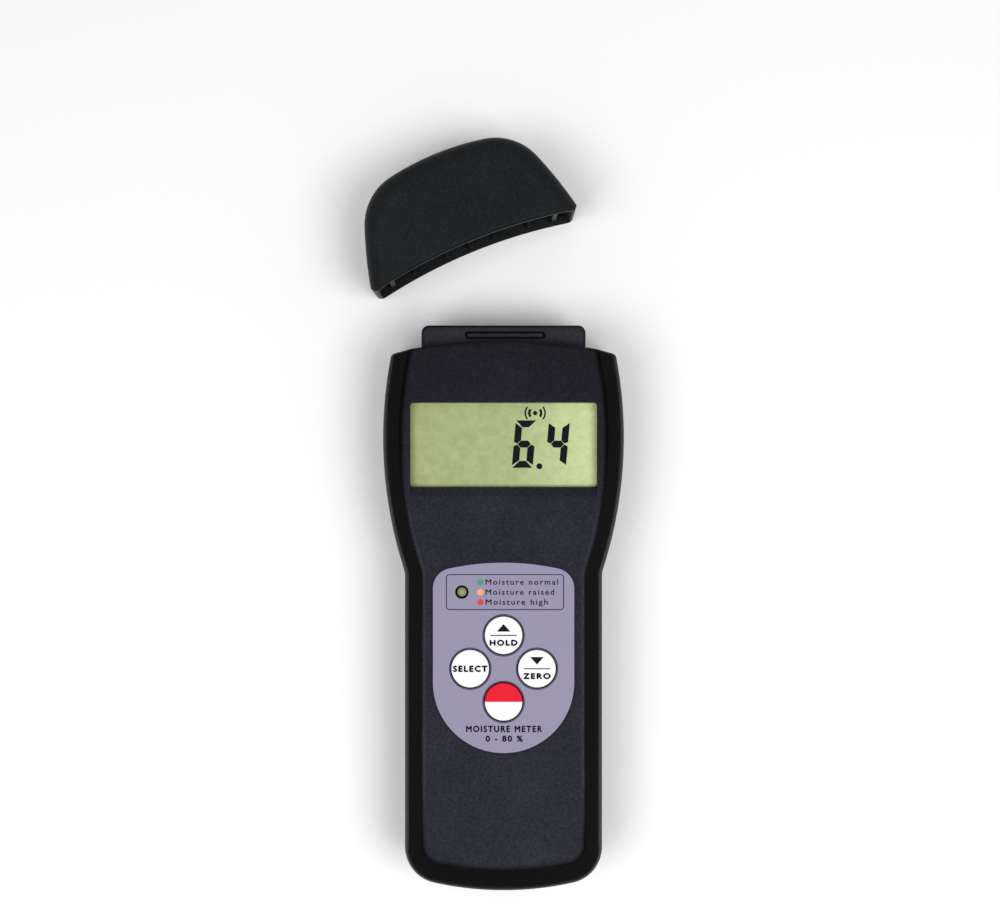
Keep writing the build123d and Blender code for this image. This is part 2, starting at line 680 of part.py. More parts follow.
with BuildPart() as case_screws:
    head_foot_z = screw_seat_z - screw_head[1]
    extrude(discs(case_screw_places, screw_head[0], head_foot_z), amount=screw_head[1])
    fillet(case_screws.edges().group_by(Axis.Z)[0], screw_head_radius)
    extrude(discs(case_screw_places, screw_radius, screw_seat_z), amount=screw_tip_z - screw_seat_z)
    extrude(cross_recesses(case_screw_places, head_foot_z), amount=cross_recess[2], mode=Mode.SUBTRACT)
save(case_screws.part, "case_screws")

with BuildPart() as board_screws:
    head_foot_z = board_z[0] - board_screw_head[1]
    extrude(discs(board_screw_places, board_screw_head[0], head_foot_z), amount=board_screw_head[1])
    extrude(discs(board_screw_places, board_screw_radius, board_z[0]), amount=board_screw_tip_z - board_z[0])
    recesses = cross_recesses(board_screw_places, head_foot_z)
    extrude(recesses, amount=cross_recess[2], mode=Mode.SUBTRACT)
save(board_screws.part, "board_screws")

# ---------------------------------------------------------------- protective cap


def cap_outline(height, inset=0.0):
    """Outline of the cap, which carries on the casing's side arcs. It runs on below the rim."""
    with BuildSketch(Plane.XY.offset(height)) as outline:
        with Locations((side_centre_x, widest_y)):
            Circle(side_radius - inset)
        with Locations((-side_centre_x, widest_y)):
            Circle(side_radius - inset, mode=Mode.INTERSECT)
        with Locations((0, cap_top_y - cap_top_radius)):
            Circle(cap_top_radius - inset, mode=Mode.INTERSECT)
        with Locations((0, cap_root_y)):
            align = (Align.CENTER, Align.MIN)
            Rectangle(2 * casing_width, casing_width, align=align, mode=Mode.INTERSECT)
        fillet(outline.vertices().group_by(Axis.Y)[-1], cap_corner_radius - inset)
    return outline.sketch


def rounded_cap_block(block, back_radius, front_radius):
    """Rounds the outer edges of a block of the cap's outline, but not its root edges."""
    for face, radius in ((-1, front_radius), (0, back_radius)):
        edges = block.faces().sort_by(Axis.Z)[face].edges()
        fillet(edges.sort_by(Axis.Y)[1:], radius)


with BuildPart() as cap_space:
    extrude(cap_outline(cap_wall, cap_wall), amount=cap_depth - 2 * cap_wall)
    rounded_cap_block(cap_space, cap_back_radius - cap_wall, cap_front_radius - cap_wall)

with BuildPart() as cap_form:
    extrude(cap_outline(0), amount=cap_depth)
    rounded_cap_block(cap_form, cap_back_radius, cap_front_radius)

with BuildPart() as cap_ribs:
    # ribs that grip the sensor head, and a partition beside it on each side, set back from the rim
    for rib_z in ((0, head_z[0] - cap_rib_clearance), (head_z[1] + cap_rib_clearance, cap_depth)):
        for rib_x in cap_rib_places:
            rib = strip((rib_x - cap_rib_width / 2, rib_x + cap_rib_width / 2), cap_rib_y, rib_z[0])
            extrude(rib, amount=rib_z[1] - rib_z[0])
    for side in (-cap_partition_x, cap_partition_x):
        partition = strip((side - cap_rib_width / 2, side + cap_rib_width / 2), cap_rib_y, 0)
        extrude(partition, amount=cap_depth)
    clear_of_rim = discs([(0, crown_centre_y)], crown_radius + cap_gap + cap_rib_setback, 0)
    extrude(clear_of_rim, amount=cap_depth, mode=Mode.SUBTRACT)

with BuildPart() as seated_cap:
    add(cap_form.part)
    add(cap_space.part, mode=Mode.SUBTRACT)
    extrude(discs([(0, crown_centre_y)], crown_radius + cap_gap, 0), amount=cap_depth, mode=Mode.SUBTRACT)
    rim = seated_cap.faces().sort_by(lambda face: abs((face.radius or 0) - crown_radius - cap_gap))[0]
    fillet(rim.outer_wire().edges(), cap_rim_radius)
    # the rim's two ends are rounded too, seen from the front
    with BuildSketch() as rounded_tips:
        add(cap_outline(0))
        with Locations((0, crown_centre_y)):
            Circle(crown_radius + cap_gap, mode=Mode.SUBTRACT)
        fillet(rounded_tips.vertices().group_by(Axis.Y)[0], cap_tip_radius)
    extrude(amount=cap_depth, mode=Mode.INTERSECT)
    add(cap_ribs.part)
    add(cap_form.part, mode=Mode.INTERSECT)

with BuildPart() as protective_cap:
    pole = Axis((*cap_pole, 0), (0, 0, 1))
    add(seated_cap.part.rotate(pole, cap_turn))
save(protective_cap.part, "protective_cap")
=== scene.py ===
import math

import bmesh
import bpy
from mathutils import Matrix, Vector


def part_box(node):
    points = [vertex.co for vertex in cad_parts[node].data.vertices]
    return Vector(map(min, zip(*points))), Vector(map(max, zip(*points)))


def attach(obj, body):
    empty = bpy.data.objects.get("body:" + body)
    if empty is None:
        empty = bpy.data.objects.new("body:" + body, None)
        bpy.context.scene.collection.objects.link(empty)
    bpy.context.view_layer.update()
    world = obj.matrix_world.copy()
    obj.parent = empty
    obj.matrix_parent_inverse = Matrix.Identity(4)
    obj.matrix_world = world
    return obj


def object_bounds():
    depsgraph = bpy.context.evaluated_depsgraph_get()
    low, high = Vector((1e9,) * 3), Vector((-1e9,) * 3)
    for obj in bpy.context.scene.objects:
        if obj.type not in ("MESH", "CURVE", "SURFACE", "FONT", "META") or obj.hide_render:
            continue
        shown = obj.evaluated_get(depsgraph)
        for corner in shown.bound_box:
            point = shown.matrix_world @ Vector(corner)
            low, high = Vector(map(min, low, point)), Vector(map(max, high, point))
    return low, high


# A wood moisture meter on its back, with its cap laid down beyond the sensor head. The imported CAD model
# gives every shape and place. This script adds the printing, the LCD's marks, the materials, the floor,
# the lights and the camera. Sizes are millimetres unless a comment says metres.

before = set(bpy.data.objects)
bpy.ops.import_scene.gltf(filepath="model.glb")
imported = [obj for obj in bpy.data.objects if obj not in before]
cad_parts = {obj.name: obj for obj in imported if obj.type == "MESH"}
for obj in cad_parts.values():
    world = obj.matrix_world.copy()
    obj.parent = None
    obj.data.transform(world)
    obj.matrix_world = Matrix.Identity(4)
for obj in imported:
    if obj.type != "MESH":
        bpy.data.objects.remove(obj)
cad_low, cad_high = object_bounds()

MM = 0.001
CASING_LENGTH = 140.2
INK = 0.03  # how far printing stands on what it is printed on
LCD_INK = 0.02  # the same for the LCD's marks


# ---------------------------------------------------------------- node helpers


class Material:
    """A node material built by short calls. Its Principled shader is self.shader."""

    def __init__(self, name, color, roughness, **inputs):
        self.material = bpy.data.materials.new(name)
        self.material.use_nodes = True
        self.nodes = self.material.node_tree.nodes
        self.links = self.material.node_tree.links
        self.shader = self.nodes["Principled BSDF"]
        self.output = self.nodes["Material Output"]
        self.shader.inputs["Base Color"].default_value = (*color, 1)
        self.shader.inputs["Roughness"].default_value = roughness
        for socket, value in inputs.items():
            self.shader.inputs[socket.replace("_", " ")].default_value = value

    def node(self, kind, **settings):
        node = self.nodes.new(kind)
        for key, value in settings.items():
            if key in node.inputs:
                node.inputs[key].default_value = value
            else:
                setattr(node, key, value)
        return node

    def place(self):
        """The object's own coordinates, in metres."""
        return self.node("ShaderNodeTexCoord").outputs["Object"]

    def noise(self, grain_mm, detail=2.0, roughness=0.5):
        """Noise whose features are about grain_mm across."""
        noise = self.node("ShaderNodeTexNoise", Scale=1 / (grain_mm * MM), Detail=detail, Roughness=roughness)
        self.links.new(self.place(), noise.inputs["Vector"])
        return noise.outputs["Fac"]

    def spread(self, value, low, high, start=0.0, end=1.0):
        """value from start to end becomes low to high."""
        settings = {"From Min": start, "From Max": end, "To Min": low, "To Max": high}
        spread = self.node("ShaderNodeMapRange", **settings)
        self.links.new(value, spread.inputs["Value"])
        return spread.outputs["Result"]

    def along(self, axis):
        """The place along X, Y or Z, in metres."""
        split = self.node("ShaderNodeSeparateXYZ")
        self.links.new(self.place(), split.inputs["Vector"])
        return split.outputs[axis]

    def math(self, operation, first, second=0.0):
        """One sum. Each of its two terms is a number or another node's output."""
        sum_node = self.node("ShaderNodeMath", operation=operation)
        for socket, term in zip(sum_node.inputs, (first, second)):
            if isinstance(term, (int, float)):
                socket.default_value = term
            else:
                self.links.new(term, socket)
        return sum_node.outputs["Value"]

    def between(self, value, low, high):
        """1 where value is from low to high, and 0 elsewhere."""
        above = self.math("GREATER_THAN", value, low)
        return self.math("MULTIPLY", above, self.math("LESS_THAN", value, high))

    def stripes(self, axis, pitch_mm, share=0.5):
        """1 on regular stripes across this axis, and 0 between them."""
        place = self.math("DIVIDE", self.along(axis), pitch_mm * MM)
        return self.math("LESS_THAN", self.math("FRACT", place), share)

    def mix(self, factor, first, second):
        """A colour between first and second."""
        mix = self.node("ShaderNodeMix", data_type="RGBA")
        self.links.new(factor, mix.inputs["Factor"])
        for name, color in (("A", first), ("B", second)):
            socket = [s for s in mix.inputs if s.name == name and s.type == "RGBA"][0]
            if isinstance(color, tuple):
                socket.default_value = (*color, 1)
            else:
                self.links.new(color, socket)
        return [s for s in mix.outputs if s.type == "RGBA"][0]

    def ramp(self, value, stops):
        """The colour at value, from stops given as (place from 0 to 1, colour) in order."""
        ramp = self.node("ShaderNodeValToRGB")
        self.links.new(value, ramp.inputs["Fac"])
        first, last = ramp.color_ramp.elements
        first.position, first.color = stops[0][0], (*stops[0][1], 1)
        last.position, last.color = stops[-1][0], (*stops[-1][1], 1)
        for place, color in stops[1:-1]:
            ramp.color_ramp.elements.new(place).color = (*color, 1)
        return ramp.outputs["Color"]

    def shaded(self, color, shade):
        """A colour made darker or lighter by a number."""
        scale = self.node("ShaderNodeVectorMath", operation="SCALE")
        self.links.new(color, scale.inputs["Vector"])
        self.links.new(shade, scale.inputs["Scale"])
        return scale.outputs["Vector"]

    def leaning(self):
        """How far the surface leans to a side, and how far to a side or the heel.
        Both are 0 on a flat top and 1 on an upright wall."""
        split = self.node("ShaderNodeSeparateXYZ")
        self.links.new(self.node("ShaderNodeTexCoord").outputs["Normal"], split.inputs["Vector"])
        heelwards = self.math("MINIMUM", split.outputs["Y"], 0.0)
        squares = [self.math("MULTIPLY", lean, lean) for lean in (split.outputs["X"], heelwards)]
        return self.math("ABSOLUTE", split.outputs["X"]), self.math("SQRT", self.math("ADD", *squares))

    def levels(self, value, stops):
        """A grey level at value, from stops given as (place from 0 to 1, level) in order."""
        return self.ramp(value, [(place, (level, level, level)) for place, level in stops])

    def drive(self, socket, value):
        """Links value to one of the shader's sockets."""
        self.links.new(value, self.shader.inputs[socket])

    def bump(self, height, depth_mm):
        """Relief of depth_mm where height goes from 0 to 1."""
        bump = self.node("ShaderNodeBump", Strength=1.0, Distance=depth_mm * MM)
        self.links.new(height, bump.inputs["Height"])
        self.links.new(bump.outputs["Normal"], self.shader.inputs["Normal"])


def linear(red, green, blue):
    """Scene-linear colour of an sRGB colour given as 0 to 255."""

    def channel(value):
        value /= 255
        return value / 12.92 if value <= 0.04045 else ((value + 0.055) / 1.055) ** 2.4

    return tuple(channel(value) for value in (red, green, blue))


def shades(color, amount):
    """A darker and a lighter shade of a colour."""
    factors = (1 - amount, 1 + amount)
    return tuple(tuple(min(1.0, channel * factor) for channel in color) for factor in factors)


def two_finishes(name, mask, dull, dull_roughness, metal, metal_roughness):
    """Plastic that is bare metal where mask(material) is 1."""
    made = Material(name, dull, dull_roughness)
    where = mask(made)
    grain = made.noise(0.3, detail=3.0)
    plain = made.mix(made.noise(3.0), *shades(dull, 0.12))
    made.drive("Base Color", made.mix(where, plain, metal))
    made.drive("Metallic", where)
    finish = made.spread(where, dull_roughness, metal_roughness)
    made.drive("Roughness", made.math("ADD", finish, made.spread(grain, -0.05, 0.05)))
    made.bump(grain, 0.006)
    return made.material


SPECKLE = 0.35  # how much the grain lightens and darkens plastic

# Painted light on the casing's plastic, as levels of its colour, by its tilt and by its place along the
# casing,
# from 0 at the heel to 1 at the crown: painted shade on bevels and towards the crown, painted highlights on
# rims and edges
# painted shade on the bevels, darkest where they slope, and a painted highlight on the near-upright rims
PAINTED_LIGHT_BY_TILT = (
    (0.0, 0.5),
    (0.1, 0.46),
    (0.55, 0.08),
    (0.62, 0.03),
    (0.79, 0.03),
    (0.84, 0.9),
    (0.97, 0.9),
    (1.0, 0.4),
)
# painted shade, darker towards the crown
PAINTED_SHADE_ALONG = ((0.0, 1.05), (0.7, 0.94), (0.95, 0.55), (1.0, 0.5))
# a painted highlight on the plateau's edges where they lean to a side, over the lower part of the casing
PAINTED_HIGHLIGHT_BY_TILT = ((0.15, 0.0), (0.45, 0.7), (0.7, 0.0))
PAINTED_HIGHLIGHT_ALONG = ((0.08, 0.0), (0.2, 1.0), (0.65, 0.9), (0.8, 0.0))


def moulded_plastic(
    name, color, grain_mm, relief_mm, roughness, specular=0.04, painted_light=False, painted_shade_below=None
):
    """Black moulded plastic with a spark-eroded grain, a slow drift of shade and slightly rubbed patches.
    Where asked, it also gets painted light: painted shade on its bevels and towards the crown, and painted
    highlights on its rims and on the plateau's edges over its lower part.
    Below a given height in metres, such as in a groove, it gets painted shade."""
    made = Material(name, color, roughness, Specular_IOR_Level=specular)
    grain = made.noise(grain_mm, detail=3.0, roughness=0.6)
    drift = made.noise(18.0, detail=3.0)
    shade = made.spread(grain, 1 - SPECKLE, 1 + SPECKLE, 0.3, 0.7)
    # painted light: painted shade on bevels and towards the crown, painted highlights on rims and the
    # plateau's edges
    if painted_light:
        sideways, tilt = made.leaning()
        length = made.spread(made.along("Y"), 0.0, 1.0, cad_low.y, cad_low.y + CASING_LENGTH * MM)
        painted_shade = made.math("MULTIPLY", made.levels(tilt, PAINTED_LIGHT_BY_TILT), made.levels(length, PAINTED_SHADE_ALONG))
        painted_highlight = made.math("MULTIPLY", made.levels(sideways, PAINTED_HIGHLIGHT_BY_TILT), made.levels(length, PAINTED_HIGHLIGHT_ALONG))
        shade = made.math("MULTIPLY", shade, made.math("ADD", painted_shade, painted_highlight))
    # painted shade below the given height, such as in a groove
    if painted_shade_below:
        raised = made.spread(made.along("Z"), 0.1, 1.0, painted_shade_below - 0.15 * MM, painted_shade_below)
        shade = made.math("MULTIPLY", shade, raised)
    patches = made.spread(drift, 0.88, 1.12, 0.3, 0.7)
    plain = made.mix(made.noise(6.0), *shades(color, 0.06))
    made.drive("Base Color", made.shaded(plain, made.math("MULTIPLY", shade, patches)))
    rubbed = made.math("ADD", made.math("MULTIPLY", grain, 0.5), made.math("MULTIPLY", drift, 0.5))
    made.drive("Roughness", made.spread(rubbed, roughness - 0.12, roughness + 0.12))
    made.bump(grain, relief_mm)
    return made.material


def film_print(name, color, roughness=0.38, specular=0.4):
    """Ink or coloured film with a very fine orange-peel surface."""
    made = Material(name, color, roughness, Specular_IOR_Level=specular)
    peel = made.noise(0.5, detail=2.0)
    tint = made.noise(0.8, detail=4.0, roughness=0.7)
    made.drive("Base Color", made.mix(tint, *shades(color, 0.06)))
    made.drive("Roughness", made.spread(peel, roughness - 0.04, roughness + 0.04))
    made.bump(peel, 0.004)
    return made.material


def bright_metal(name, color, roughness):
    """Plated metal with a fine uneven polish."""
    made = Material(name, color, roughness, Metallic=1.0)
    polish = made.noise(0.3, detail=3.0)
    made.drive("Base Color", made.mix(made.noise(4.0), *shades(color, 0.08)))
    made.drive("Roughness", made.spread(polish, roughness - 0.08, roughness + 0.1))
    made.bump(polish, 0.004)
    return made.material


# ---------------------------------------------------------------- materials

# the casing's plastic gets painted shade and painted highlights
casing_black = moulded_plastic(
    "casing_black", (0.042, 0.043, 0.058), 0.6, 0.05, 0.38, specular=0.03, painted_light=True
)
# the sensor head gets painted shade below this height: in its groove and down its edges and sides
groove_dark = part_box("sensor_head")[1].z - 0.35 * MM
head_black = moulded_plastic(
    "head_black", (0.024, 0.0245, 0.0325), 0.5, 0.03, 0.38, painted_shade_below=groove_dark
)
cap_black = moulded_plastic("cap_black", (0.0125, 0.0135, 0.0148), 0.45, 0.03, 0.42)
foil_lilac = film_print("foil_lilac", linear(137, 131, 157), 0.42)
key_white = film_print("key_white", linear(236, 236, 240), 0.4)
ink_black = film_print("ink_black", linear(12, 11, 16), 0.5, specular=0.08)
ink_violet = film_print("ink_violet", linear(50, 42, 74), 0.5, specular=0.1)
# painted shade: a dark line for the shadow in the gap round the foil
painted_gap_shade = film_print("painted_gap_shade", linear(30, 24, 48), 0.5, specular=0.1)
ink_green = film_print("ink_green", linear(50, 140, 115), 0.45)
ink_orange = film_print("ink_orange", linear(240, 165, 90), 0.45)
ink_crimson = film_print("ink_crimson", linear(205, 35, 60), 0.45)


def lcd_material():
    """Reflective LCD: a yellow-green film, lighter towards the right, with faint blotches."""
    low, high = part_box("lcd_panel")
    made = Material("lcd_film", linear(176, 192, 132), 0.35, Specular_IOR_Level=0.2)
    across = made.spread(made.along("X"), 0.0, 1.0, low.x, high.x)
    greens = [(0.0, linear(172, 177, 124)), (0.55, linear(177, 188, 135)), (1.0, linear(215, 223, 167))]
    film = made.ramp(across, greens)
    blotches = made.spread(made.noise(2.5, detail=4.0, roughness=0.6), 0.86, 1.14, 0.25, 0.75)
    made.drive("Base Color", made.shaded(film, blotches))
    made.bump(made.noise(0.4), 0.001)
    return made.material


def pane_material():
    """A thin clear acrylic pane: it shows what is behind it and mirrors a little at its outer surface."""
    made = Material("clear_pane", (1, 1, 1), 0.05)
    clear = made.node("ShaderNodeBsdfTransparent")
    clear.inputs["Color"].default_value = (0.96, 0.97, 0.96, 1)
    mirror = made.node("ShaderNodeBsdfGlossy")
    mirror.inputs["Roughness"].default_value = 0.04
    fresnel = made.node("ShaderNodeFresnel")
    fresnel.inputs["IOR"].default_value = 1.3
    mix = made.node("ShaderNodeMixShader")
    inside = made.node("ShaderNodeNewGeometry").outputs["Backfacing"]
    outer = made.math("SUBTRACT", 1.0, inside)
    made.links.new(made.math("MULTIPLY", fresnel.outputs["Fac"], outer), mix.inputs["Fac"])
    made.links.new(clear.outputs["BSDF"], mix.inputs[1])
    made.links.new(mirror.outputs["BSDF"], mix.inputs[2])
    made.links.new(mix.outputs["Shader"], made.output.inputs["Surface"])
    return made.material


lcd_film = lcd_material()
clear_pane = pane_material()
lcd_ink = film_print("lcd_ink", linear(10, 11, 24), 0.5, specular=0.05)
led_lens = film_print("led_lens", linear(142, 150, 104), 0.42, specular=0.2)
dark_inside = moulded_plastic("dark_inside", linear(16, 16, 18), 0.3, 0.01, 0.5)
nickel = bright_metal("nickel", (0.60, 0.57, 0.52), 0.28)
zinc_steel = bright_metal("zinc_steel", (0.42, 0.42, 0.43), 0.36)
copper = bright_metal("copper", (0.72, 0.38, 0.24), 0.3)


def power_key_material():
    """A white key whose upper half is printed red."""
    low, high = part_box("key_power")
    white, red = linear(236, 236, 240), linear(224, 16, 44)
    made = Material("key_red_and_white", white, 0.42, Specular_IOR_Level=0.12)
    upper_half = made.math("GREATER_THAN", made.along("Y"), (low.y + high.y) / 2)
    tint = made.noise(0.8, detail=4.0, roughness=0.7)
    printed = made.mix(tint, *shades(red, 0.06))
    made.drive("Base Color", made.mix(upper_half, white, printed))
    made.drive("Roughness", made.spread(made.noise(0.5), 0.36, 0.44))
    made.bump(made.noise(0.5), 0.004)
    return made.material


TRACKS = (1.27, 0.35)  # pitch of a board's tracks, and their share of it


def board_material():
    """Green solder mask with copper tracks under it, running one way or the other in patches."""
    mask_green = linear(18, 78, 42)
    made = Material("circuit_board", mask_green, 0.35)
    patches = made.noise(9.0, detail=1.0)
    along_patches = made.math("GREATER_THAN", patches, 0.52)
    across_patches = made.math("LESS_THAN", patches, 0.46)
    lengthways = made.math("MULTIPLY", made.stripes("X", *TRACKS), along_patches)
    crossways = made.math("MULTIPLY", made.stripes("Y", *TRACKS), across_patches)
    tracks = made.math("ADD", lengthways, crossways)
    made.drive("Base Color", made.mix(tracks, mask_green, linear(44, 122, 62)))
    made.bump(tracks, 0.02)
    return made.material


MINUS_END = 0.9  # bare metal at a cell's minus end
PLUS_END = 1.62  # and at its plus end
COPPER_BAND = (0.68, 0.93)  # where the sleeve's band lies, as shares of the cell's length


def cell_material(node, plus_at_top):
    """A cell's printed sleeve: dark, with a coppery band towards the plus end and bare metal ends."""
    low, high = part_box(node)
    made = Material(f"{node}_sleeve", linear(28, 30, 36), 0.3)
    length = high.y - low.y
    foot, head = (low.y, high.y) if plus_at_top else (high.y, low.y)
    along = made.spread(made.along("Y"), 0.0, 1.0, foot, head)
    band = made.between(along, *COPPER_BAND)
    sleeve = made.between(along, MINUS_END * MM / length, 1 - PLUS_END * MM / length)
    printed = made.mix(band, linear(28, 30, 36), linear(176, 108, 52))
    made.drive("Base Color", made.mix(sleeve, (0.55, 0.53, 0.50), printed))
    made.drive("Metallic", made.spread(sleeve, 1.0, 0.25))
    made.drive("Roughness", made.spread(made.noise(1.2, detail=3.0), 0.22, 0.38))
    made.bump(made.noise(0.8), 0.006)
    return made.material


PIN_LENGTH = 1.2  # how far the controller's pins stand out from its body


def chip_material():
    """Black epoxy body with tinned pins round it."""
    low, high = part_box("controller_chip")
    middle = (low + high) / 2
    reach = (high.x - low.x) / 2 - PIN_LENGTH * MM

    def pins(made):
        inside_x = made.between(made.along("X"), middle.x - reach, middle.x + reach)
        inside_y = made.between(made.along("Y"), middle.y - reach, middle.y + reach)
        return made.math("SUBTRACT", 1.0, made.math("MULTIPLY", inside_x, inside_y))

    return two_finishes("chip_epoxy", pins, linear(22, 22, 24), 0.55, (0.6, 0.6, 0.6), 0.3)


def capacitor_material():
    """Dark sleeve on an aluminium can, bare at its flat end."""
    bare_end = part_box("capacitors")[0].z + 0.4 * MM

    def can_end(made):
        return made.math("LESS_THAN", made.along("Z"), bare_end)

    return two_finishes("capacitor_can", can_end, linear(24, 30, 66), 0.35, (0.7, 0.7, 0.7), 0.3)


def switch_material():
    """Black switch bases under pressed steel covers."""
    cover_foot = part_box("tact_switches")[1].z - 0.5 * MM

    def cover(made):
        return made.math("GREATER_THAN", made.along("Z"), cover_foot)

    return two_finishes("switch_base", cover, linear(20, 20, 22), 0.5, (0.55, 0.54, 0.52), 0.35)


def striped_material(name, axis, pitch_mm, first, second, roughness):
    """Fine regular stripes of two colours, such as a ribbon cable's wires."""
    made = Material(name, first, roughness)
    stripes = made.stripes(axis, pitch_mm)
    made.drive("Base Color", made.mix(stripes, first, second))
    made.drive("Roughness", made.spread(made.noise(0.6), roughness - 0.05, roughness + 0.08))
    made.bump(stripes, 0.03)
    return made.material


def paint(node, material):
    """Gives a CAD node this material."""
    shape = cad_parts[node]
    if not shape.material_slots:
        shape.data.materials.append(material)
    for material_slot in shape.material_slots:
        material_slot.material = material


circuit_board = board_material()
FINISHES = {
    "front_casing": casing_black,
    "rear_casing": casing_black,
    "battery_door": casing_black,
    "sensor_head": head_black,
    "protective_cap": cap_black,
    "keypad_overlay": foil_lilac,
    "display_window": clear_pane,
    "lcd_panel": lcd_film,
    "lcd_frame": dark_inside,
    "lcd_contact_strips": striped_material(
        "zebra_rubber", "X", 0.25, linear(206, 150, 150), linear(52, 46, 48), 0.6
    ),
    "status_led": led_lens,
    "main_board": circuit_board,
    "sensor_board": circuit_board,
    "controller_chip": chip_material(),
    "crystal": nickel,
    "capacitors": capacitor_material(),
    "buzzer": dark_inside,
    "tact_switches": switch_material(),
    "sensor_electrodes": copper,
    "sensor_cable": striped_material(
        "ribbon_cable", "X", 1.0, linear(214, 214, 210), linear(128, 128, 130), 0.4
    ),
    "battery_springs": nickel,
    "battery_contacts": nickel,
    "case_screws": zinc_steel,
    "board_screws": zinc_steel,
}
for node_name, finish in FINISHES.items():
    paint(node_name, finish)
for number in range(1, 5):
    cell_name = f"battery_cell_{number}"
    paint(cell_name, cell_material(cell_name, plus_at_top=number % 2 == 1))
KEYS = ("hold", "select", "zero", "power")
for key_name in KEYS:
    paint(f"key_{key_name}", key_white)
    paint(f"plunger_{key_name}", dark_inside)
paint("key_power", power_key_material())


# ---------------------------------------------------------------- printing


def add_object(name, data):
    added = bpy.data.objects.new(name, data)
    bpy.context.scene.collection.objects.link(added)
    return added


def prism(name, outlines, base_z, thickness, material, body):
    """Flat shapes as one mesh. Each outline is a closed list of (x, y) in millimetres.
    base_z is in metres."""
    mesh = bpy.data.meshes.new(name)
    shape = bmesh.new()
    for outline in outlines:
        corners = [shape.verts.new((x * MM, y * MM, base_z)) for x, y in outline]
        face = shape.faces.new(corners)
        lifted = bmesh.ops.extrude_face_region(shape, geom=[face])
        raised = [item for item in lifted["geom"] if isinstance(item, bmesh.types.BMVert)]
        bmesh.ops.translate(shape, verts=raised, vec=(0, 0, thickness * MM))
    bmesh.ops.recalc_face_normals(shape, faces=shape.faces)
    shape.to_mesh(mesh)
    shape.free()
    mesh.materials.append(material)
    piece = add_object(name, mesh)
    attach(piece, body)


def arc(centre, radius, start, end, steps):
    """Points on an arc, with angles in degrees."""
    angles = [math.radians(start + (end - start) * step / steps) for step in range(steps + 1)]
    return [(centre[0] + radius * math.cos(angle), centre[1] + radius * math.sin(angle)) for angle in angles]


def disc(centre, radius):
    return arc(centre, radius, 0, 360, 48)[:-1]


def rectangle(left, right, bottom, top):
    return [(left, bottom), (right, bottom), (right, top), (left, top)]


LETTER_SPACING = 1.25  # times the font's own


def lettering(name, words, centre, cap_height, width, base_z, material, body, weight, left=False):
    """Words as raised ink, scaled to the cap height and the whole width, in millimetres.
    They are struck five times, each a weight apart, which makes thin strokes bold."""
    curve = bpy.data.curves.new(name, "FONT")
    curve.body = words
    curve.extrude = 0.01
    curve.resolution_u = 3
    curve.space_character = LETTER_SPACING
    text = add_object(name, curve)
    bpy.context.view_layer.update()
    graph = bpy.context.evaluated_depsgraph_get()
    mesh = bpy.data.meshes.new_from_object(text.evaluated_get(graph))
    bpy.data.objects.remove(text)
    points = [vertex.co for vertex in mesh.vertices]
    low = Vector(min(p[axis] for p in points) for axis in range(3))
    high = Vector(max(p[axis] for p in points) for axis in range(3))
    capital_top = max(high.y, 0.0)
    scale = Vector((width / (high.x - low.x), cap_height / capital_top, INK / (high.z - low.z))) * MM
    anchor_x = low.x if left else (low.x + high.x) / 2
    for vertex in mesh.vertices:
        vertex.co = Vector(
            (
                (vertex.co.x - anchor_x) * scale.x + centre[0] * MM,
                (vertex.co.y - capital_top / 2) * scale.y + centre[1] * MM,
                (vertex.co.z - low.z) * scale.z + base_z,
            )
        )
    struck = bmesh.new()
    for across, up in ((0, 0), (-weight, 0), (weight, 0), (0, -weight), (0, weight)):
        struck.from_mesh(mesh)
        fresh = struck.verts[len(struck.verts) - len(mesh.vertices) :]
        bmesh.ops.translate(struck, verts=fresh, vec=(across * MM, up * MM, 0))
        struck.verts.ensure_lookup_table()
    struck.to_mesh(mesh)
    struck.free()
    mesh.name = name
    mesh.materials.clear()
    mesh.materials.append(material)
    piece = add_object(name, mesh)
    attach(piece, body)


def centre_of(node):
    """Middle of a CAD node seen from the front, in millimetres."""
    low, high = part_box(node)
    return (low.x + high.x) / 2 / MM, (low.y + high.y) / 2 / MM


def top_of(node):
    """Height of a CAD node's highest point, in metres."""
    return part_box(node)[1].z


# keys: HOLD and ZERO have a triangle and a line over the word, and SELECT has its word alone. The power
# key's red half is in its material
key_top = top_of("key_hold")
RULE = (6.65, 0.25)  # the line's length and width
TRIANGLE = (3.4, 1.9)  # the triangle's width and height
KEY_WEIGHT = 0.13


def rule(centre):
    half = RULE[0] / 2
    return rectangle(centre[0] - half, centre[0] + half, centre[1] - RULE[1] / 2, centre[1] + RULE[1] / 2)


def triangle(centre, foot, direction):
    """A triangle with its flat side at foot above the key's centre and its tip in the given direction."""
    x, y = centre
    tip = y + foot + direction * TRIANGLE[1]
    return [(x - TRIANGLE[0] / 2, y + foot), (x + TRIANGLE[0] / 2, y + foot), (x, tip)]


def key_word(key, words, drop, cap_height, width):
    """A key's word in bold capitals, this far below the key's centre."""
    x, y = centre_of(f"key_{key}")
    place = (x, y - drop)
    name = f"key_{key}_word"
    lettering(name, words, place, cap_height, width, key_top, ink_black, f"{key}_key", KEY_WEIGHT)


hold = centre_of("key_hold")
hold_marks = [rule(hold), triangle(hold, foot=0.95, direction=1)]
prism("key_hold_marks", hold_marks, key_top, INK, ink_black, "hold_key")
key_word("hold", "HOLD", 1.86, 1.3, 6.8)

zero = centre_of("key_zero")
zero_marks = [rule(zero), triangle(zero, foot=2.95, direction=-1)]
prism("key_zero_marks", zero_marks, key_top, INK, ink_black, "zero_key")
key_word("zero", "ZERO", 1.84, 1.3, 6.7)

key_word("select", "SELECT", 0.0, 1.39, 8.5)

# foil: a dark line round it that is painted shade of the gap round the foil, the lines round its keys, the
# legend's frame, dots and words, and the words below the keys
foil_top = top_of("keypad_overlay")
GAP_SHADE_WIDTH = 0.42  # width of the dark line round the foil, painted shade of the gap round it
